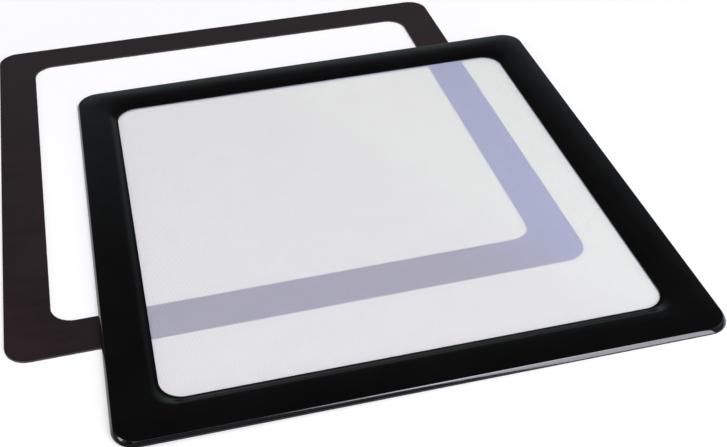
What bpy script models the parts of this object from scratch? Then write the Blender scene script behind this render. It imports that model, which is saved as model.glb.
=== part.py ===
"""Magnetic dust filter for a square cooling fan, with the stick-on frame that it clings to.

The filter panel is a soft welded border round a fine woven screen. A cushioned cover and a flat
back skin are welded along both edges of the border, and a ring of flexible magnet fills the pocket
between them. The mounting frame is a thin ring of magnet sheet with adhesive and a release liner on
its back. Off duty the panel lies partly on the frame: its two supported sides ride on the frame, its
two free corners droop to the table, and the taut screen passes over the frame's near right corner.

Sizes are in metres. +X is to the right, +Y is away from the viewer, +Z is up, and both parts lie on
z = 0. Run it from the text editor or with blender --background --python part.py.
"""

import math

import bpy
import numpy as np

COLLECTION_NAME = "fan_dust_filter"

# Outline shared by the filter panel and the frame that it mates with
PANEL_SIDE = 0.150
OUTER_CORNER_RADIUS = 0.006
WINDOW_CORNER_RADIUS = 0.006

# Filter panel: widths across the border
PANEL_BORDER = 0.0119
OUTER_WELD_WIDTH = 0.0014
INNER_WELD_WIDTH = 0.0026
INNER_LIP_WIDTH = 0.0005
SCREEN_CLAMP = 0.0011

# Filter panel: thicknesses
BACK_SKIN_THICKNESS = 0.00020
MAGNET_THICKNESS = 0.00075
COVER_SKIN_THICKNESS = 0.00025
LIP_THICKNESS = 0.00020
EDGE_RADIUS = 0.00040
SCREEN_THICKNESS = 0.00014
LAYER_GAP = 0.00004

# Filter panel: slopes of the cover's outer side from the upright, and of its top and its foot from level
SIDE_LEAN = math.radians(30)
CROWN_SLOPE = math.radians(5)
FOOT_SLOPE = math.radians(18)

# Mounting frame
FRAME_BORDER = 0.0114
FRAME_SHEET_THICKNESS = 0.00050
ADHESIVE_THICKNESS = 0.00010
LINER_THICKNESS = 0.00008
FRAME_LAYER_GAP = 0.00002

# Where the mounting frame's centre lies from the panel's centre, and how far it is turned
FRAME_OFFSET_X = -0.0233
FRAME_OFFSET_Y = 0.0340
FRAME_TURN = math.radians(0.41)

# How closely the panel and its screen rest on the frame
PANEL_REST_GAP = 0.00010
SCREEN_REST_GAP = 0.00005

# Smoothness
CORNER_STEPS = 8
SIDE_STEPS = 8
EDGE_STEPS = 6
CROWN_STEPS = 8
SLOPE_STEPS = 6
SCREEN_CELLS = 36
SETTLING_ROUNDS = 3000
SHARP_ANGLE = math.radians(35)

# Sizes that follow from those above
PANEL_HALF = PANEL_SIDE / 2
PANEL_WINDOW_HALF = PANEL_HALF - PANEL_BORDER
FRAME_WINDOW_HALF = PANEL_HALF - FRAME_BORDER
MAGNET_BOTTOM = BACK_SKIN_THICKNESS + LAYER_GAP
MAGNET_TOP = MAGNET_BOTTOM + MAGNET_THICKNESS
POCKET_CEILING = MAGNET_TOP + LAYER_GAP
COVER_TOP = POCKET_CEILING + COVER_SKIN_THICKNESS
SCREEN_BOTTOM = BACK_SKIN_THICKNESS + LAYER_GAP
SCREEN_TOP = SCREEN_BOTTOM + SCREEN_THICKNESS
OUTER_WELD_LEVEL = BACK_SKIN_THICKNESS + LAYER_GAP
INNER_WELD_LEVEL = SCREEN_TOP + LAYER_GAP
INNER_LIP_TOP = INNER_WELD_LEVEL + LIP_THICKNESS
ADHESIVE_BOTTOM = LINER_THICKNESS + FRAME_LAYER_GAP
FRAME_SHEET_BOTTOM = ADHESIVE_BOTTOM + ADHESIVE_THICKNESS + FRAME_LAYER_GAP
FRAME_TOP = FRAME_SHEET_BOTTOM + FRAME_SHEET_THICKNESS


def rounded_square(half, radius):
    """Points of a rounded square about the origin, counter-clockwise, the same number at any size."""
    core = half - radius
    points = []
    for quarter in range(4):
        first = quarter * math.pi / 2
        centre_x = core * math.copysign(1, math.cos(first + math.pi / 4))
        centre_y = core * math.copysign(1, math.sin(first + math.pi / 4))
        for step in range(CORNER_STEPS + 1):
            angle = first + step / CORNER_STEPS * math.pi / 2
            points.append((centre_x + radius * math.cos(angle), centre_y + radius * math.sin(angle)))
        along_x = math.cos(first + math.pi)
        along_y = math.sin(first + math.pi)
        start_x, start_y = points[-1]
        for step in range(1, SIDE_STEPS):
            run = step / SIDE_STEPS * 2 * core
            points.append((start_x + run * along_x, start_y + run * along_y))
    return points


def corner_radius(inset):
    """Corner radius of the panel's outline at a distance in from its outer edge."""
    share = inset / PANEL_BORDER
    return OUTER_CORNER_RADIUS + (WINDOW_CORNER_RADIUS - OUTER_CORNER_RADIUS) * share


def frame_edge_y(x, edge):
    """Y where the frame's edge at the given offset, parallel to its own X, crosses the line at x."""
    return FRAME_OFFSET_Y + edge / math.cos(FRAME_TURN) + (x - FRAME_OFFSET_X) * math.tan(FRAME_TURN)


def frame_edge_x(y, edge):
    """X where the frame's edge at the given offset, parallel to its own Y, crosses the line at y."""
    return FRAME_OFFSET_X + edge / math.cos(FRAME_TURN) - (y - FRAME_OFFSET_Y) * math.tan(FRAME_TURN)


def panel_twist():
    """Twist of the drooping panel, as height over the product of x and y.

    The panel's left and far sides cross over the frame. It touches the frame at the inner corner of
    one of these crossings, and its far left and near right corners reach the table.
    """
    left_crossing = -PANEL_WINDOW_HALF * frame_edge_y(-PANEL_WINDOW_HALF, -FRAME_WINDOW_HALF)
    far_crossing = PANEL_WINDOW_HALF * frame_edge_x(PANEL_WINDOW_HALF, FRAME_WINDOW_HALF)
    return (FRAME_TOP + PANEL_REST_GAP) / (LOW_CORNER ** 2 + min(left_crossing, far_crossing))


# The point of a rounded corner that touches the table lies this far from the centre in x and in y
LOW_CORNER = PANEL_HALF - (1 - math.sqrt(0.5)) * OUTER_CORNER_RADIUS
PANEL_TWIST = panel_twist()


def droop(x, y):
    """Height of the panel's back above the table: straight along each side, twisted from side to side."""
    return PANEL_TWIST * (LOW_CORNER ** 2 + x * y)


def principled(name, color, roughness, alpha=1.0):
    """A Principled BSDF material of one colour."""
    material = bpy.data.materials.new(name)
    material.use_nodes = True
    shader = material.node_tree.nodes["Principled BSDF"]
    shader.inputs["Base Color"].default_value = (*color, 1.0)
    shader.inputs["Roughness"].default_value = roughness
    shader.inputs["Metallic"].default_value = 0.0
    shader.inputs["Alpha"].default_value = alpha
    return material


def add_object(name, data, material, parent):
    """Put mesh or curve data in the model's collection under an empty, with its own material."""
    item = bpy.data.objects.new(name, data)
    data.materials.append(material)
    bpy.data.collections[COLLECTION_NAME].objects.link(item)
    item.parent = parent
    return item


def add_place(name, x, y, turn):
    """An empty that carries one of the two separate halves."""
    place = bpy.data.objects.new(name, None)
    place.location = (x, y, 0)
    place.rotation_euler = (0, 0, turn)
    bpy.data.collections[COLLECTION_NAME].objects.link(place)
    return place


def lofted_border(name, section, material, parent):
    """A closed ring that follows the panel's border and droops with it.

    The section is a closed outline of (inset from the outer edge, height) that runs up the outer
    side, in over the top, down the inner side and back underneath. The rings are lofted because
    the outer and the window corners don't share a centre.
    """
    vertices = []
    for inset, height in section:
        for x, y in rounded_square(PANEL_HALF - inset, corner_radius(inset)):
            vertices.append((x, y, height + droop(x, y)))
    around = len(vertices) // len(section)
    faces = []
    for station in range(len(section)):
        here = station * around
        above = (station + 1) % len(section) * around
        for step in range(around):
            after = (step + 1) % around
            faces.append((here + step, here + after, above + after, above + step))
    mesh = bpy.data.meshes.new(name)
    mesh.from_pydata(vertices, [], faces)
    mesh.shade_smooth()
    mesh.set_sharp_from_angle(angle=SHARP_ANGLE)
    return add_object(name, mesh, material, parent)


def box_section(outer_inset, inner_inset, bottom, top):
    """Section of a flat layer of the border."""
    return [(outer_inset, bottom), (outer_inset, top), (inner_inset, top), (inner_inset, bottom)]


def outer_side():
    """Outer side of the cover, from the weld up: flat and leaning in, then rounded over into the top."""
    last_angle = math.pi / 2 - CROWN_SLOPE
    flat_rise = COVER_TOP - EDGE_RADIUS * (math.sin(last_angle) - math.sin(SIDE_LEAN)) - OUTER_WELD_LEVEL
    round_centre = flat_rise * math.tan(SIDE_LEAN) + EDGE_RADIUS * math.cos(SIDE_LEAN)
    points = [(0, OUTER_WELD_LEVEL)]
    for step in range(EDGE_STEPS + 1):
        angle = SIDE_LEAN + step / EDGE_STEPS * (last_angle - SIDE_LEAN)
        drop = EDGE_RADIUS * (math.sin(last_angle) - math.sin(angle))
        points.append((round_centre - EDGE_RADIUS * math.cos(angle), COVER_TOP - drop))
    return points


def crown(start, end):
    """Cushioned top of the cover between two insets, both left out."""
    width = end - start
    height = width * math.tan(CROWN_SLOPE) / math.pi
    points = []
    for step in range(1, CROWN_STEPS):
        share = step / CROWN_STEPS
        points.append((start + share * width, COVER_TOP + height * math.sin(math.pi * share)))
    return points


def inner_slope(start, end):
    """Soft slope of the cover from the crown down to the thin lip round the window."""
    width = end - start
    first_fall = width * math.tan(CROWN_SLOPE)
    last_fall = width * math.tan(FOOT_SLOPE)
    points = []
    for step in range(SLOPE_STEPS + 1):
        t = step / SLOPE_STEPS
        down = (3 - 2 * t) * t * t
        height = COVER_TOP + (INNER_LIP_TOP - COVER_TOP) * down
        height -= first_fall * t * (1 - t) ** 2
        height += last_fall * t * t * (1 - t)
        points.append((start + t * width, height))
    return points


def cover_section():
    """Section of the cushioned cover: outer side, crown, slope and lip, then the magnet's pocket."""
    outside = outer_side()
    slope_end = PANEL_BORDER - INNER_LIP_WIDTH
    slope_start = PANEL_BORDER - INNER_WELD_WIDTH
    inner_lip = [(PANEL_BORDER, INNER_LIP_TOP), (PANEL_BORDER, INNER_WELD_LEVEL)]
    pocket = [
        (PANEL_BORDER - INNER_WELD_WIDTH, INNER_WELD_LEVEL),
        (PANEL_BORDER - INNER_WELD_WIDTH, POCKET_CEILING),
        (OUTER_WELD_WIDTH, POCKET_CEILING),
        (OUTER_WELD_WIDTH, OUTER_WELD_LEVEL),
    ]
    top = crown(outside[-1][0], slope_start) + inner_slope(slope_start, slope_end)
    return outside + top + inner_lip + pocket


def outside_rounded_square(x, y, half, radius):
    """Distance of points outside a rounded square, negative inside it."""
    across = np.abs(x) - (half - radius)
    along = np.abs(y) - (half - radius)
    beyond = np.hypot(np.maximum(across, 0), np.maximum(along, 0))
    return beyond + np.minimum(np.maximum(across, along), 0) - radius


def over_frame(x, y, margin):
    """True for points over the mounting frame's ring, or within a margin of it."""
    across = math.cos(FRAME_TURN) * (x - FRAME_OFFSET_X) + math.sin(FRAME_TURN) * (y - FRAME_OFFSET_Y)
    along = math.cos(FRAME_TURN) * (y - FRAME_OFFSET_Y) - math.sin(FRAME_TURN) * (x - FRAME_OFFSET_X)
    inside = outside_rounded_square(across, along, PANEL_HALF, OUTER_CORNER_RADIUS) < margin
    beyond_window = outside_rounded_square(across, along, FRAME_WINDOW_HALF, WINDOW_CORNER_RADIUS) > -margin
    return inside & beyond_window


def settled_screen(x, y):
    """Heights of the taut screen's underside on a square grid of points.

    The border holds the screen round its rim. Inside, each point takes the mean height of its four
    neighbours, as a taut membrane does, unless the mounting frame props it up.
    """
    cell = x[1, 0] - x[0, 0]
    held = SCREEN_BOTTOM + droop(x, y)
    in_border = np.maximum(np.abs(x), np.abs(y)) >= PANEL_WINDOW_HALF
    propped = over_frame(x, y, cell)
    prop = np.where(propped & ~in_border, FRAME_TOP + SCREEN_REST_GAP, 0.0)
    height = held.copy()
    for _ in range(SETTLING_ROUNDS):
        neighbours = height[:-2, 1:-1] + height[2:, 1:-1] + height[1:-1, :-2] + height[1:-1, 2:]
        height[1:-1, 1:-1] = np.maximum(neighbours / 4, prop[1:-1, 1:-1])
        height[in_border] = held[in_border]
    return height


def round_corner(x, y, half, radius):
    """Move a point of a square sheet so that the sheet gets round corners."""
    core = half - radius
    across = abs(x) - core
    along = abs(y) - core
    if across <= 0 or along <= 0:
        return x, y
    pull = max(across, along) / math.hypot(across, along)
    return math.copysign(core + across * pull, x), math.copysign(core + along * pull, y)


def make_screen(parent):
    """The woven screen as one taut sheet, its rim clamped between the cover's inner lip and the back."""
    half = PANEL_WINDOW_HALF + SCREEN_CLAMP
    ticks = np.linspace(-half, half, SCREEN_CELLS + 1)
    grid_x, grid_y = np.meshgrid(ticks, ticks, indexing="ij")
    heights = settled_screen(grid_x, grid_y)
    radius = corner_radius(PANEL_BORDER - SCREEN_CLAMP)

    bpy.ops.mesh.primitive_grid_add(x_subdivisions=SCREEN_CELLS, y_subdivisions=SCREEN_CELLS, size=2 * half)
    sheet = bpy.context.object
    mesh = sheet.data
    mesh.name = "filter_screen"
    for vertex in mesh.vertices:
        column = round((vertex.co.x + half) / (2 * half) * SCREEN_CELLS)
        row = round((vertex.co.y + half) / (2 * half) * SCREEN_CELLS)
        x, y = round_corner(vertex.co.x, vertex.co.y, half, radius)
        lift = heights[column, row] - droop(vertex.co.x, vertex.co.y)
        vertex.co = (x, y, droop(x, y) + lift)
    mesh.shade_smooth()
    bpy.data.objects.remove(sheet)

    screen = add_object("filter_screen", mesh, principled("white_mesh", (0.82, 0.82, 0.85), 0.5, 0.8), parent)
    thickness = screen.modifiers.new("thickness", "SOLIDIFY")
    thickness.thickness = SCREEN_THICKNESS
    thickness.offset = 1.0
    return screen


def make_panel(parent):
    """Cover, magnet, back skin and screen of the filter panel."""
    black = (0.012, 0.012, 0.014)
    lofted_border("filter_cover", cover_section(), principled("gloss_pvc", black, 0.16), parent)
    back = box_section(0, PANEL_BORDER, 0, BACK_SKIN_THICKNESS)
    lofted_border("filter_back", back, principled("satin_pvc", (0.016, 0.016, 0.018), 0.35), parent)
    magnet_start = OUTER_WELD_WIDTH + LAYER_GAP
    magnet_end = PANEL_BORDER - INNER_WELD_WIDTH - LAYER_GAP
    magnet = box_section(magnet_start, magnet_end, MAGNET_BOTTOM, MAGNET_TOP)
    lofted_border("filter_magnet", magnet, principled("magnet_core", (0.05, 0.04, 0.035), 0.7), parent)
    make_screen(parent)


def flat_ring(name, bottom, thickness, material, parent):
    """A die-cut layer of the mounting frame: one flat outline with its window, given a thickness."""
    outline = bpy.data.curves.new(name, "CURVE")
    outline.dimensions = "2D"
    outline.fill_mode = "BOTH"
    outline.extrude = thickness / 2
    edges = ((PANEL_HALF, OUTER_CORNER_RADIUS), (FRAME_WINDOW_HALF, WINDOW_CORNER_RADIUS))
    for half, radius in edges:
        points = rounded_square(half, radius)
        spline = outline.splines.new("POLY")
        spline.points.add(len(points) - 1)
        for point, (x, y) in zip(spline.points, points):
            point.co = (x, y, 0, 1)
        spline.use_cyclic_u = True
    ring = add_object(name, outline, material, parent)
    ring.location.z = bottom + thickness / 2
    return ring


def make_frame(parent):
    """Release liner, adhesive and magnet sheet of the mounting frame, from the table up."""
    liner = principled("liner_film", (0.75, 0.73, 0.68), 0.45)
    flat_ring("mount_liner", 0, LINER_THICKNESS, liner, parent)
    adhesive = principled("adhesive_tape", (0.55, 0.53, 0.48), 0.6)
    flat_ring("mount_adhesive", ADHESIVE_BOTTOM, ADHESIVE_THICKNESS, adhesive, parent)
    sheet = principled("magnet_sheet", (0.022, 0.017, 0.018), 0.62)
    flat_ring("mount_sheet", FRAME_SHEET_BOTTOM, FRAME_SHEET_THICKNESS, sheet, parent)


def middle_of_both():
    """Centre of the box round both halves, from the panel's centre."""
    core = PANEL_HALF - OUTER_CORNER_RADIUS
    reach = core * (math.cos(FRAME_TURN) + abs(math.sin(FRAME_TURN))) + OUTER_CORNER_RADIUS
    middle = []
    for offset in (FRAME_OFFSET_X, FRAME_OFFSET_Y):
        low = min(-PANEL_HALF, offset - reach)
        high = max(PANEL_HALF, offset + reach)
        middle.append((low + high) / 2)
    return middle


def main():
    for item in list(bpy.data.objects):
        bpy.data.objects.remove(item)
    collection = bpy.data.collections.new(COLLECTION_NAME)
    bpy.context.scene.collection.children.link(collection)
    middle_x, middle_y = middle_of_both()
    panel_place = add_place("panel_place", -middle_x, -middle_y, 0)
    frame_place = add_place("frame_place", FRAME_OFFSET_X - middle_x, FRAME_OFFSET_Y - middle_y, FRAME_TURN)
    make_panel(panel_place)
    make_frame(frame_place)


main()
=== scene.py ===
"""Looks of the magnetic fan dust filter: its finishes, its screen, the camera and the studio light.

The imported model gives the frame. Lengths are in metres in the model's own frame: +X is to the
right, +Y is away from the viewer, +Z is up, and both halves lie on z = 0. The filter panel's own
pieces are made about the panel's centre and then moved there.
"""

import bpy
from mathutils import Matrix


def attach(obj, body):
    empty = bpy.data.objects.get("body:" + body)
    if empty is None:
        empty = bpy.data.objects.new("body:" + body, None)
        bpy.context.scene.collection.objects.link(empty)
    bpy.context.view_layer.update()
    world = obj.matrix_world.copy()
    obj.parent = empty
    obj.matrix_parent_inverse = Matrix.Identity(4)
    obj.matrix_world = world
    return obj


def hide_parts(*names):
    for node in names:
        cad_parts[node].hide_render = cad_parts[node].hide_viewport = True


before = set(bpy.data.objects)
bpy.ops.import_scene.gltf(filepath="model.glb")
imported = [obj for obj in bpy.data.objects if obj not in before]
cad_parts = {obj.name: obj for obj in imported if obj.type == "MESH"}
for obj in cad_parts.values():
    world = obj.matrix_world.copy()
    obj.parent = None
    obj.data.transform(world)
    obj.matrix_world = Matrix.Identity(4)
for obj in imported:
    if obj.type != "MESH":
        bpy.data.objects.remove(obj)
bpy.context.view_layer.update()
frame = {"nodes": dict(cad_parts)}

import math

import bpy
import numpy as np
from mathutils import Vector

# Camera, solved from the straight edges of both squares
CAMERA_AT = (-0.04750, -0.25288, 0.18638)
CAMERA_TURN = (math.radians(51.196), math.radians(0.425), math.radians(-14.676))
CAMERA_LENS_MM = 53.57
CAMERA_SENSOR_MM = 36
CAMERA_CLIP = 0.01

# The two halves, with the same sizes as the model
PANEL_HALF = 0.075
PANEL_CENTRE = (0.011896, -0.017246)
PANEL_BORDER = 0.0119
CORNER_RADIUS = 0.006
FRAME_BORDER = 0.0114
FRAME_FROM_PANEL = (-0.0233, 0.0340)
FRAME_TURN = math.radians(0.41)
FRAME_TOP = 0.00072
PANEL_REST_GAP = 0.00010
SCREEN_REST_GAP = 0.00005
WINDOW_HALF = PANEL_HALF - PANEL_BORDER
FRAME_WINDOW_HALF = PANEL_HALF - FRAME_BORDER

# Section of the panel's cover
BACK_SKIN = 0.00020
LAYER_GAP = 0.00004
SCREEN_THICKNESS = 0.00014
LIP_THICKNESS = 0.00020
COVER_TOP = 0.00128
POCKET_CEILING = 0.00103
OUTER_WELD_WIDTH = 0.0014
INNER_WELD_WIDTH = 0.0026
INNER_LIP_WIDTH = 0.0005
EDGE_RADIUS = 0.00018
SIDE_FOOT = math.radians(22)
SIDE_HEAD = math.radians(42)
CROWN_SLOPE = math.radians(5)
FOOT_SLOPE = math.radians(18)
OUTER_WELD_LEVEL = BACK_SKIN + LAYER_GAP
INNER_WELD_LEVEL = OUTER_WELD_LEVEL + SCREEN_THICKNESS + LAYER_GAP
INNER_LIP_TOP = INNER_WELD_LEVEL + LIP_THICKNESS

# Fineness of the cover's mesh, the angle from which its edges are sharp, and the height of the slow
# ripples in its soft top, with their waves as (turns per metre along x, along y, start angle)
CORNER_STEPS = 14
SIDE_STEPS = 60
EDGE_STEPS = 8
CROWN_STEPS = 12
SLOPE_STEPS = 8
SHARP_FROM = math.radians(32)
RIPPLE = 0.000018
RIPPLE_WAVES = ((61, 23, 0.7), (-37, 88, 2.1), (139, -52, 4.0), (47, 171, 5.3), (-211, 97, 1.2))

# Rounding of the mounting sheet's die-cut edges
SHEET_EDGE = 0.00006
SHEET_EDGE_FROM = math.radians(50)

# The screen: its mesh, the line along which its colour drifts to a painted bluish sheen, and where on it,
# its threads as the stretch of a cosine in which they fall away, and how solid it is in a thread and in a
# hole
SCREEN_CLAMP = 0.0011
SCREEN_HALF = WINDOW_HALF + SCREEN_CLAMP
SCREEN_CELLS = 120
SETTLING_ROUNDS = 7000
SHEEN_TINT_ALONG = (0.9, 0.45, 0)
SHEEN_TINT_OVER = (0.0, 0.040)
THREAD_PITCH = 0.00031
THREAD_SIDE = (-0.05, 0.40)
THREAD_DEPTH = 0.00001
SOLID_THREAD = 0.90
SOLID_HOLE = 0.54

# Colours, each as a pair that its material clouds or drifts between
GLOSS_BLACK = ((0.0016, 0.0016, 0.0018), (0.0026, 0.0026, 0.0029))
SATIN_BLACK = ((0.0035, 0.0035, 0.0038), (0.0060, 0.0060, 0.0064))
CORE_BROWN = ((0.040, 0.030, 0.026), (0.060, 0.050, 0.044))
SHEET_BROWN = ((0.0128, 0.0056, 0.0074), (0.0200, 0.0090, 0.0116))
ADHESIVE_CREAM = ((0.50, 0.48, 0.42), (0.60, 0.58, 0.53))
LINER_CREAM = ((0.71, 0.69, 0.63), (0.79, 0.77, 0.72))
# The screen's pairs go from its own colour to a painted bluish sheen towards the right.
SCREEN_WHITE_AND_PAINTED_SHEEN = ((0.564, 0.558, 0.658), (0.586, 0.628, 0.850))
SCREEN_THROUGH_AND_PAINTED_SHEEN = ((0.300, 0.300, 0.225), (0.310, 0.290, 0.050))

# The studio: the table with its glow as (distance, strength), the backdrop as (sine of elevation,
# red, green, blue), and the soft boxes as (name, azimuth, elevation, distance, width, height,
# radiance, colour, lean), with angles in degrees
TABLE_REACH = 3.0
TABLE_DROP = 0.00002
TABLE_GREY = 0.55
GLOW_NEAR = (0.12, 0.53)
GLOW_FAR = (1.2, 0.95)
BACKDROP = (
    (0.0, 1.0, 1.0, 1.0),
    (0.05, 0.80, 0.80, 0.82),
    (0.10, 0.08, 0.08, 0.10),
    (0.18, 0.07, 0.07, 0.09),
    (0.25, 0.25, 0.29, 0.30),
    (0.32, 0.34, 0.42, 0.42),
    (0.42, 0.22, 0.26, 0.26),
    (0.52, 0.10, 0.115, 0.12),
    (0.62, 0.05, 0.05, 0.05),
    (1.0, 0.03, 0.03, 0.03),
)
WHITE = (1.0, 1.0, 1.0)
WARM_WHITE = (1.0, 0.99, 0.96)
LAVENDER = (0.91, 0.875, 1.0)
SOFT_BOXES = (
    ("front_right", 25, 22, 1.6, 0.5, 1.4, 8.8, LAVENDER, 11),
    ("front_right_top", 20.5, 36, 1.55, 0.66, 0.45, 7.5, LAVENDER, 8),
    ("overhead", 0, 62, 1.7, 1.9, 1.5, 1.1, WARM_WHITE, 0),
    ("left", -80, 40, 1.5, 0.9, 0.9, 0.5, WHITE, 0),
    ("right", 95, 38, 1.5, 0.9, 0.9, 1.2, WHITE, 0),
    ("left_window", -82, 30, 1.4, 0.34, 0.34, 7.0, WHITE, 0),
)


def panel_twist():
    """Twist of the drooping panel, as height over the product of x and y from its centre."""
    dx, dy = FRAME_FROM_PANEL
    reach = FRAME_WINDOW_HALF / math.cos(FRAME_TURN)
    near_edge = dy - reach + (-WINDOW_HALF - dx) * math.tan(FRAME_TURN)
    right_edge = dx + reach - (WINDOW_HALF - dy) * math.tan(FRAME_TURN)
    support = min(-WINDOW_HALF * near_edge, WINDOW_HALF * right_edge)
    return (FRAME_TOP + PANEL_REST_GAP) / (LOW_CORNER ** 2 + support)


LOW_CORNER = PANEL_HALF - (1 - math.sqrt(0.5)) * CORNER_RADIUS
PANEL_TWIST = panel_twist()


def droop(x, y):
    """Height of the panel's back above the table, at a place given from the panel's centre."""
    return PANEL_TWIST * (LOW_CORNER ** 2 + x * y)


# Shader helpers


def new_material(name):
    """A material with its nodes, its links and its Principled shader."""
    made = bpy.data.materials.new(name)
    made.use_nodes = True
    tree = made.node_tree
    return made, tree.nodes, tree.links, tree.nodes["Principled BSDF"]


def math_node(nodes, links, operation, first, second=None, third=None):
    """Output of a math node whose inputs are numbers or other outputs."""
    made = nodes.new("ShaderNodeMath")
    made.operation = operation
    for socket, value in zip(made.inputs, (first, second, third)):
        if value is None:
            continue
        if isinstance(value, (int, float)):
            socket.default_value = value
        else:
            links.new(value, socket)
    return made.outputs[0]


def vector_node(nodes, links, operation, vector, other=None, output="Vector"):
    """Output of a vector math node on an output and, where it takes two, a fixed vector."""
    made = nodes.new("ShaderNodeVectorMath")
    made.operation = operation
    links.new(vector, made.inputs[0])
    if other is not None:
        made.inputs[1].default_value = other
    return made.outputs[output]


def spread(nodes, links, value, low, high, to_low=0.0, to_high=1.0, smooth=False):
    """Output of a node that maps one range of a value to another."""
    made = nodes.new("ShaderNodeMapRange")
    made.interpolation_type = "SMOOTHSTEP" if smooth else "LINEAR"
    links.new(value, made.inputs["Value"])
    made.inputs["From Min"].default_value = low
    made.inputs["From Max"].default_value = high
    made.inputs["To Min"].default_value = to_low
    made.inputs["To Max"].default_value = to_high
    return made.outputs["Result"]


def blended(nodes, links, share, colors):
    """Output of a node that mixes a pair of colours by a share."""
    made = nodes.new("ShaderNodeMix")
    made.data_type = "RGBA"
    links.new(share, made.inputs[0])
    made.inputs[6].default_value = (*colors[0], 1)
    made.inputs[7].default_value = (*colors[1], 1)
    return made.outputs[2]


def noise(nodes, links, size, detail=3.0, roughness=0.5, stretch=(1, 1, 1)):
    """Noise from 0 to 1 in the model's own space, with features of the given size in metres."""
    coordinates = nodes.new("ShaderNodeTexCoord")
    mapping = nodes.new("ShaderNodeMapping")
    mapping.inputs["Scale"].default_value = stretch
    texture = nodes.new("ShaderNodeTexNoise")
    texture.inputs["Scale"].default_value = 1 / size
    texture.inputs["Detail"].default_value = detail
    texture.inputs["Roughness"].default_value = roughness
    links.new(coordinates.outputs["Object"], mapping.inputs["Vector"])
    links.new(mapping.outputs["Vector"], texture.inputs["Vector"])
    return texture.outputs["Fac"]


def add_bump(nodes, links, shader, height, depth, strength=1.0):
    """Bump from a height between 0 and 1 that stands for a depth in metres."""
    made = nodes.new("ShaderNodeBump")
    made.inputs["Strength"].default_value = strength
    made.inputs["Distance"].default_value = depth
    links.new(height, made.inputs["Height"])
    links.new(made.outputs["Normal"], shader.inputs["Normal"])


# Finishes


def gloss_pvc():
    """Glossy black soft PVC: fine grain, and faint smears in its gloss."""
    made, nodes, links, shader = new_material("gloss_pvc_finish")
    cloud = noise(nodes, links, 0.012, 4.0)
    tone = spread(nodes, links, cloud, 0.35, 0.65)
    links.new(blended(nodes, links, tone, GLOSS_BLACK), shader.inputs["Base Color"])
    smear = noise(nodes, links, 0.004, 5.0, 0.6)
    links.new(spread(nodes, links, smear, 0.3, 0.7, 0.06, 0.12), shader.inputs["Roughness"])
    grain = noise(nodes, links, 0.00035, 2.0)
    add_bump(nodes, links, shader, grain, 0.000004, 0.6)
    return made


def satin_pvc():
    """Satin black PVC film of the panel's back."""
    made, nodes, links, shader = new_material("satin_pvc_finish")
    cloud = noise(nodes, links, 0.006, 4.0)
    tone = spread(nodes, links, cloud, 0.35, 0.65)
    links.new(blended(nodes, links, tone, SATIN_BLACK), shader.inputs["Base Color"])
    links.new(spread(nodes, links, cloud, 0.3, 0.7, 0.33, 0.42), shader.inputs["Roughness"])
    grain = noise(nodes, links, 0.0005, 3.0)
    add_bump(nodes, links, shader, grain, 0.00001, 0.8)
    return made


def magnet_rubber(name, colors, roughness, speckle):
    """Ferrite-filled magnet sheet: matt brown-black, clouded, with fine speckle and rolled streaks."""
    made, nodes, links, shader = new_material(name)
    cloud = noise(nodes, links, 0.016, 4.0, 0.6)
    streak = noise(nodes, links, 0.0025, 3.0, 0.6, (0.12, 1, 1))
    fine = noise(nodes, links, speckle, 2.0, 0.7)
    level = math_node(nodes, links, "MULTIPLY", cloud, 0.45)
    level = math_node(nodes, links, "MULTIPLY_ADD", streak, 0.35, level)
    level = math_node(nodes, links, "MULTIPLY_ADD", fine, 0.20, level)
    tone = spread(nodes, links, level, 0.38, 0.62)
    links.new(blended(nodes, links, tone, colors), shader.inputs["Base Color"])
    links.new(spread(nodes, links, level, 0.35, 0.65, roughness - 0.05, roughness + 0.05),
              shader.inputs["Roughness"])
    add_bump(nodes, links, shader, fine, 0.00002, 0.7)
    return made


def adhesive():
    """Thin cloudy double-sided adhesive."""
    made, nodes, links, shader = new_material("adhesive_finish")
    cloud = noise(nodes, links, 0.003, 4.0)
    links.new(blended(nodes, links, cloud, ADHESIVE_CREAM), shader.inputs["Base Color"])
    links.new(spread(nodes, links, cloud, 0.3, 0.7, 0.5, 0.65), shader.inputs["Roughness"])
    add_bump(nodes, links, shader, cloud, 0.00001)
    return made


def liner_paper():
    """Smooth pale release liner."""
    made, nodes, links, shader = new_material("liner_finish")
    fibre = noise(nodes, links, 0.0012, 5.0, 0.65, (1, 0.35, 1))
    links.new(blended(nodes, links, fibre, LINER_CREAM), shader.inputs["Base Color"])
    links.new(spread(nodes, links, fibre, 0.3, 0.7, 0.38, 0.5), shader.inputs["Roughness"])
    add_bump(nodes, links, shader, fibre, 0.000008)
    return made


def plain_weave(nodes, links, place):
    """A plain weave over a place: how far each point is in a hole, and the height of its threads."""
    pitches = nodes.new("ShaderNodeMapping")
    pitches.inputs["Scale"].default_value = (1 / THREAD_PITCH,) * 3
    split = nodes.new("ShaderNodeSeparateXYZ")
    links.new(place, pitches.inputs["Vector"])
    links.new(pitches.outputs["Vector"], split.inputs["Vector"])
    threads = []
    for axis in ("X", "Y"):
        turn = math_node(nodes, links, "MULTIPLY", split.outputs[axis], 2 * math.pi)
        wave = math_node(nodes, links, "COSINE", turn)
        threads.append(spread(nodes, links, wave, *THREAD_SIDE, smooth=True))
    gaps = [math_node(nodes, links, "SUBTRACT", 1.0, thread) for thread in threads]
    hole = math_node(nodes, links, "MULTIPLY", *gaps)

    crossings = nodes.new("ShaderNodeTexChecker")
    crossings.inputs["Scale"].default_value = 1.0
    flat = vector_node(nodes, links, "MULTIPLY", pitches.outputs["Vector"], (1, 1, 0))
    centred = vector_node(nodes, links, "ADD", flat, (0.5, 0.5, 0.5))
    links.new(centred, crossings.inputs["Vector"])
    over = nodes.new("ShaderNodeMix")
    links.new(crossings.outputs["Fac"], over.inputs[0])
    links.new(threads[0], over.inputs[2])
    links.new(threads[1], over.inputs[3])
    return hole, over.outputs[0]


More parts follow.
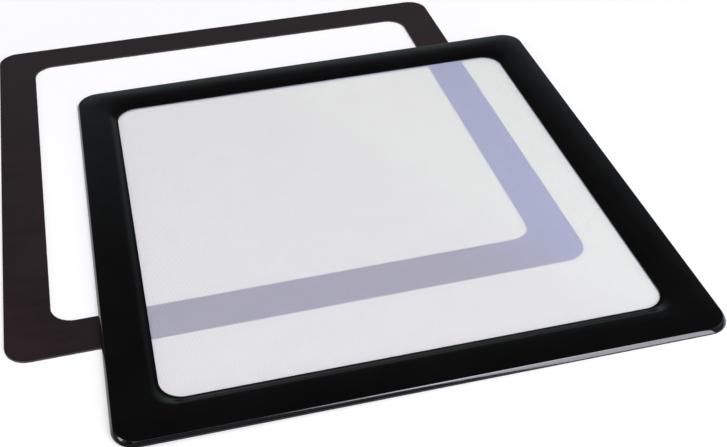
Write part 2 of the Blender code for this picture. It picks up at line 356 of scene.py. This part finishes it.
def woven_screen():
    """Ultra-fine white filament screen: a plain weave whose holes let what lies below show through; its
    colour drifts to a painted bluish sheen towards the right.
    """
    made, nodes, links, shader = new_material("white_mesh_finish")
    place = nodes.new("ShaderNodeTexCoord").outputs["Object"]
    hole, height = plain_weave(nodes, links, place)

    # Painted bluish sheen: threads and holes turn bluer towards the right, where the light falls on them
    # from the front-right.
    along = vector_node(nodes, links, "DOT_PRODUCT", place, SHEEN_TINT_ALONG, "Value")
    painted_sheen_tint = spread(nodes, links, along, *SHEEN_TINT_OVER, smooth=True)
    slub = noise(nodes, links, 0.009, 4.0, 0.6)
    # Painted shade: each thread is darker at its edges and where it dips under a crossing thread; the slub
    # noise is uneven yarn.
    thread_shade_and_slub = math_node(nodes, links, "MULTIPLY", height, 0.5)
    thread_shade_and_slub = math_node(nodes, links, "MULTIPLY_ADD", slub, 0.5, thread_shade_and_slub)
    thread_shade_and_slub = spread(nodes, links, thread_shade_and_slub, 0.2, 0.8, 0.95, 1.05)
    tint = nodes.new("ShaderNodeVectorMath")
    tint.operation = "SCALE"
    links.new(blended(nodes, links, painted_sheen_tint, SCREEN_WHITE_AND_PAINTED_SHEEN), tint.inputs[0])
    links.new(thread_shade_and_slub, tint.inputs["Scale"])
    links.new(tint.outputs[0], shader.inputs["Base Color"])
    shader.inputs["Roughness"].default_value = 0.45
    shader.inputs["Specular IOR Level"].default_value = 0.35
    add_bump(nodes, links, shader, height, THREAD_DEPTH, 0.5)

    through = nodes.new("ShaderNodeBsdfTransparent")
    links.new(blended(nodes, links, painted_sheen_tint, SCREEN_THROUGH_AND_PAINTED_SHEEN), through.inputs["Color"])
    thread = nodes.new("ShaderNodeAddShader")
    links.new(through.outputs[0], thread.inputs[0])
    links.new(shader.outputs[0], thread.inputs[1])

    clear = nodes.new("ShaderNodeBsdfTransparent")
    solid = spread(nodes, links, hole, 0.0, 1.0, SOLID_THREAD, SOLID_HOLE)
    weave = nodes.new("ShaderNodeMixShader")
    links.new(solid, weave.inputs["Fac"])
    links.new(clear.outputs[0], weave.inputs[1])
    links.new(thread.outputs[0], weave.inputs[2])
    links.new(weave.outputs[0], nodes["Material Output"].inputs["Surface"])
    return made


# Pieces


def assign(item, finish):
    """Give a piece one finish."""
    item.data.materials.clear()
    item.data.materials.append(finish)


def add_piece(name, vertices, faces, finish, replaces):
    """A smooth piece of the filter panel that stands for a CAD node."""
    mesh = bpy.data.meshes.new(name)
    placed = [(x + PANEL_CENTRE[0], y + PANEL_CENTRE[1], z) for x, y, z in vertices]
    mesh.from_pydata(placed, [], faces)
    mesh.shade_smooth()
    item = bpy.data.objects.new(name, mesh)
    bpy.context.scene.collection.objects.link(item)
    assign(item, finish)
    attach(item, "root")
    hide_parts(replaces)
    return item


def rounded_square(half):
    """Points of a rounded square about the origin, counter-clockwise."""
    core = half - CORNER_RADIUS
    points = []
    for quarter in range(4):
        first = quarter * math.pi / 2
        centre_x = core * math.copysign(1, math.cos(first + math.pi / 4))
        centre_y = core * math.copysign(1, math.sin(first + math.pi / 4))
        for step in range(CORNER_STEPS + 1):
            angle = first + step / CORNER_STEPS * math.pi / 2
            x = centre_x + CORNER_RADIUS * math.cos(angle)
            y = centre_y + CORNER_RADIUS * math.sin(angle)
            points.append((x, y))
        start_x, start_y = points[-1]
        for step in range(1, SIDE_STEPS):
            run = step / SIDE_STEPS * 2 * core
            x = start_x + run * math.cos(first + math.pi)
            y = start_y + run * math.sin(first + math.pi)
            points.append((x, y))
    return points


def cover_section():
    """Section of the cover as (inset, height, ripple share), up the outer side and in over the top."""
    last_angle = math.pi / 2 - CROWN_SLOPE
    edge_rise = EDGE_RADIUS * (math.sin(last_angle) - math.sin(SIDE_HEAD))
    side_radius = (COVER_TOP - OUTER_WELD_LEVEL - edge_rise) / (math.sin(SIDE_HEAD) - math.sin(SIDE_FOOT))
    section = []
    inset, height = 0, OUTER_WELD_LEVEL
    for radius, first, last in ((side_radius, SIDE_FOOT, SIDE_HEAD), (EDGE_RADIUS, SIDE_HEAD, last_angle)):
        for step in range(EDGE_STEPS + 1):
            angle = first + step / EDGE_STEPS * (last - first)
            across = radius * (math.cos(first) - math.cos(angle))
            up = radius * (math.sin(angle) - math.sin(first))
            if step or not section:
                section.append((inset + across, height + up, 0))
        inset, height = section[-1][:2]
    start = section[-1][0]
    end = PANEL_BORDER - INNER_WELD_WIDTH
    for step in range(1, CROWN_STEPS):
        share = step / CROWN_STEPS
        swell = math.sin(math.pi * share)
        height = COVER_TOP + (end - start) * math.tan(CROWN_SLOPE) / math.pi * swell
        section.append((start + share * (end - start), height, swell))
    width = INNER_WELD_WIDTH - INNER_LIP_WIDTH
    for step in range(SLOPE_STEPS + 1):
        t = step / SLOPE_STEPS
        height = COVER_TOP + (INNER_LIP_TOP - COVER_TOP) * (3 - 2 * t) * t * t
        height -= width * math.tan(CROWN_SLOPE) * t * (1 - t) ** 2
        height += width * math.tan(FOOT_SLOPE) * t * t * (1 - t)
        section.append((end + t * width, height, 0))
    section += [
        (PANEL_BORDER, INNER_LIP_TOP, 0),
        (PANEL_BORDER, INNER_WELD_LEVEL, 0),
        (PANEL_BORDER - INNER_WELD_WIDTH, INNER_WELD_LEVEL, 0),
        (PANEL_BORDER - INNER_WELD_WIDTH, POCKET_CEILING, 0),
        (OUTER_WELD_WIDTH, POCKET_CEILING, 0),
        (OUTER_WELD_WIDTH, OUTER_WELD_LEVEL, 0),
    ]
    return section


def ripple(x, y):
    """Slow unevenness of the soft cover at a place, from -1 to 1."""
    total = sum(math.sin(2 * math.pi * (a * x + b * y) + phase) for a, b, phase in RIPPLE_WAVES)
    return total / len(RIPPLE_WAVES)


def make_cover(finish):
    """The cushioned cover, with the slow ripples of soft PVC in its top."""
    vertices = []
    section = cover_section()
    for inset, height, share in section:
        for x, y in rounded_square(PANEL_HALF - inset):
            vertices.append((x, y, height + droop(x, y) + RIPPLE * share * ripple(x, y)))
    around = len(vertices) // len(section)
    faces = []
    for station in range(len(section)):
        here = station * around
        above = (station + 1) % len(section) * around
        for step in range(around):
            after = (step + 1) % around
            faces.append((here + step, here + after, above + after, above + step))
    cover = add_piece("cover_border", vertices, faces, finish, "filter_cover")
    cover.data.set_sharp_from_angle(angle=SHARP_FROM)


def outside_square(x, y, half):
    """Distance of points outside a rounded square, negative inside it."""
    across = np.abs(x) - (half - CORNER_RADIUS)
    along = np.abs(y) - (half - CORNER_RADIUS)
    beyond = np.hypot(np.maximum(across, 0), np.maximum(along, 0))
    return beyond + np.minimum(np.maximum(across, along), 0) - CORNER_RADIUS


def settled_screen(x, y):
    """Heights of the taut screen on a square grid: held round its rim, propped by the frame below."""
    dx, dy = FRAME_FROM_PANEL
    across = math.cos(FRAME_TURN) * (x - dx) + math.sin(FRAME_TURN) * (y - dy)
    along = math.cos(FRAME_TURN) * (y - dy) - math.sin(FRAME_TURN) * (x - dx)
    margin = x[1, 0] - x[0, 0]
    over_ring = outside_square(across, along, PANEL_HALF) < margin
    over_ring &= outside_square(across, along, FRAME_WINDOW_HALF) > -margin
    in_border = np.maximum(np.abs(x), np.abs(y)) >= WINDOW_HALF
    middle = SCREEN_THICKNESS / 2
    prop = np.where(over_ring & ~in_border, FRAME_TOP + SCREEN_REST_GAP + middle, 0.0)
    held = OUTER_WELD_LEVEL + middle + droop(x, y)
    height = held.copy()
    for _ in range(SETTLING_ROUNDS):
        mean = (height[:-2, 1:-1] + height[2:, 1:-1] + height[1:-1, :-2] + height[1:-1, 2:]) / 4
        height[1:-1, 1:-1] = np.maximum(mean, prop[1:-1, 1:-1])
        height[in_border] = held[in_border]
    return height


def make_screen(finish):
    """The taut screen, with its round corners clamped in the inner weld."""
    ticks = np.linspace(-SCREEN_HALF, SCREEN_HALF, SCREEN_CELLS + 1)
    grid_x, grid_y = np.meshgrid(ticks, ticks, indexing="ij")
    heights = settled_screen(grid_x, grid_y)
    core = SCREEN_HALF - CORNER_RADIUS
    vertices = []
    for i in range(SCREEN_CELLS + 1):
        for j in range(SCREEN_CELLS + 1):
            x, y = ticks[i], ticks[j]
            across, along = abs(x) - core, abs(y) - core
            lift = heights[i, j] - droop(x, y)
            if across > 0 and along > 0:
                pull = max(across, along) / math.hypot(across, along)
                x = math.copysign(core + across * pull, x)
                y = math.copysign(core + along * pull, y)
            vertices.append((x, y, droop(x, y) + lift))
    faces = []
    row = SCREEN_CELLS + 1
    for i in range(SCREEN_CELLS):
        for j in range(SCREEN_CELLS):
            a = i * row + j
            faces.append((a, a + row, a + row + 1, a + 1))
    screen = add_piece("woven_screen", vertices, faces, finish, "filter_screen")


def soften_edges(item, width, from_angle):
    """Round the die-cut edges of a CAD node a little, in its looks only."""
    bevel = item.modifiers.new("soft_edges", "BEVEL")
    bevel.width = width
    bevel.segments = 2
    bevel.limit_method = "ANGLE"
    bevel.angle_limit = from_angle
    bevel.harden_normals = True


# Studio


def from_front(azimuth, elevation, distance):
    """A point round the object: azimuth from the front (-Y) towards +X, and elevation, in degrees."""
    a = math.radians(azimuth)
    e = math.radians(elevation)
    flat = distance * math.cos(e)
    return Vector((flat * math.sin(a), -flat * math.cos(a), distance * math.sin(e)))


def soft_box(name, at, size, radiance, color, lean):
    """A soft box that faces the object; radiance 1 makes its face as bright as white."""
    data = bpy.data.lights.new(name, "AREA")
    data.shape = "RECTANGLE"
    data.size, data.size_y = size
    data.color = color
    data.energy = radiance * math.pi * size[0] * size[1]
    lamp = bpy.data.objects.new(name, data)
    bpy.context.scene.collection.objects.link(lamp)
    lamp.location = at
    lamp.rotation_euler = (-at).to_track_quat("-Z", "Y").to_euler()
    lamp.rotation_euler.rotate_axis("Z", lean)


def make_camera():
    """The camera at the photograph's viewpoint."""
    data = bpy.data.cameras.new("camera")
    data.lens = CAMERA_LENS_MM
    data.sensor_width = CAMERA_SENSOR_MM
    data.clip_start = CAMERA_CLIP
    camera = bpy.data.objects.new("camera", data)
    bpy.context.scene.collection.objects.link(camera)
    camera.location = CAMERA_AT
    camera.rotation_euler = CAMERA_TURN
    bpy.context.scene.camera = camera


def make_world():
    """A dim studio that is white at the horizon, with a pale band higher up."""
    world = bpy.data.worlds.new("studio")
    bpy.context.scene.world = world
    world.use_nodes = True
    nodes, links = world.node_tree.nodes, world.node_tree.links
    coordinates = nodes.new("ShaderNodeTexCoord")
    split = nodes.new("ShaderNodeSeparateXYZ")
    links.new(coordinates.outputs["Generated"], split.inputs["Vector"])
    ramp = nodes.new("ShaderNodeValToRGB")
    ramp.color_ramp.interpolation = "EASE"
    elements = ramp.color_ramp.elements
    while len(elements) < len(BACKDROP):
        elements.new(0.5)
    for element, (position, *color) in zip(elements, BACKDROP):
        element.position = position
        element.color = (*color, 1)
    links.new(split.outputs["Z"], ramp.inputs["Fac"])
    links.new(ramp.outputs["Color"], nodes["Background"].inputs["Color"])


def make_floor():
    """A pale table that shows white, glows more far off, and keeps the object's shadow."""
    mesh = bpy.data.meshes.new("table_top")
    signs = ((-1, -1), (1, -1), (1, 1), (-1, 1))
    mesh.from_pydata([(x * TABLE_REACH, y * TABLE_REACH, 0) for x, y in signs], [], [(0, 1, 2, 3)])
    floor = bpy.data.objects.new("table_top", mesh)
    floor.location.z = -TABLE_DROP
    bpy.context.scene.collection.objects.link(floor)
    made, nodes, links, shader = new_material("white_table")
    shader.inputs["Base Color"].default_value = (TABLE_GREY, TABLE_GREY, TABLE_GREY, 1)
    shader.inputs["Roughness"].default_value = 0.9
    shader.inputs["Specular IOR Level"].default_value = 0.0
    path = nodes.new("ShaderNodeLightPath")
    seen = math_node(nodes, links, "MAXIMUM", path.outputs["Is Camera Ray"], path.outputs["Is Glossy Ray"])
    seen = math_node(nodes, links, "MAXIMUM", seen, path.outputs["Is Transmission Ray"])
    place = nodes.new("ShaderNodeTexCoord").outputs["Object"]
    away = vector_node(nodes, links, "LENGTH", place, output="Value")
    level = spread(nodes, links, away, GLOW_NEAR[0], GLOW_FAR[0], GLOW_NEAR[1], GLOW_FAR[1])
    glow = nodes.new("ShaderNodeEmission")
    links.new(math_node(nodes, links, "MULTIPLY", seen, level), glow.inputs["Strength"])
    both = nodes.new("ShaderNodeAddShader")
    links.new(shader.outputs[0], both.inputs[0])
    links.new(glow.outputs[0], both.inputs[1])
    links.new(both.outputs[0], nodes["Material Output"].inputs["Surface"])
    assign(floor, made)


def main():
    """Make the cover and the screen, give each CAD node its finish, and set up the studio."""
    nodes = frame["nodes"]
    make_cover(gloss_pvc())
    make_screen(woven_screen())
    assign(nodes["filter_back"], satin_pvc())
    assign(nodes["filter_magnet"], magnet_rubber("magnet_core_finish", CORE_BROWN, 0.7, 0.0005))
    assign(nodes["mount_sheet"], magnet_rubber("magnet_sheet_finish", SHEET_BROWN, 0.45, 0.0006))
    assign(nodes["mount_adhesive"], adhesive())
    assign(nodes["mount_liner"], liner_paper())
    soften_edges(nodes["mount_sheet"], SHEET_EDGE, SHEET_EDGE_FROM)

    make_camera()
    make_world()
    make_floor()
    for name, azimuth, elevation, distance, width, height, radiance, color, lean in SOFT_BOXES:
        at = from_front(azimuth, elevation, distance)
        soft_box(name, at, (width, height), radiance, color, math.radians(lean))
    bpy.context.scene.view_settings.view_transform = "Standard"


main()
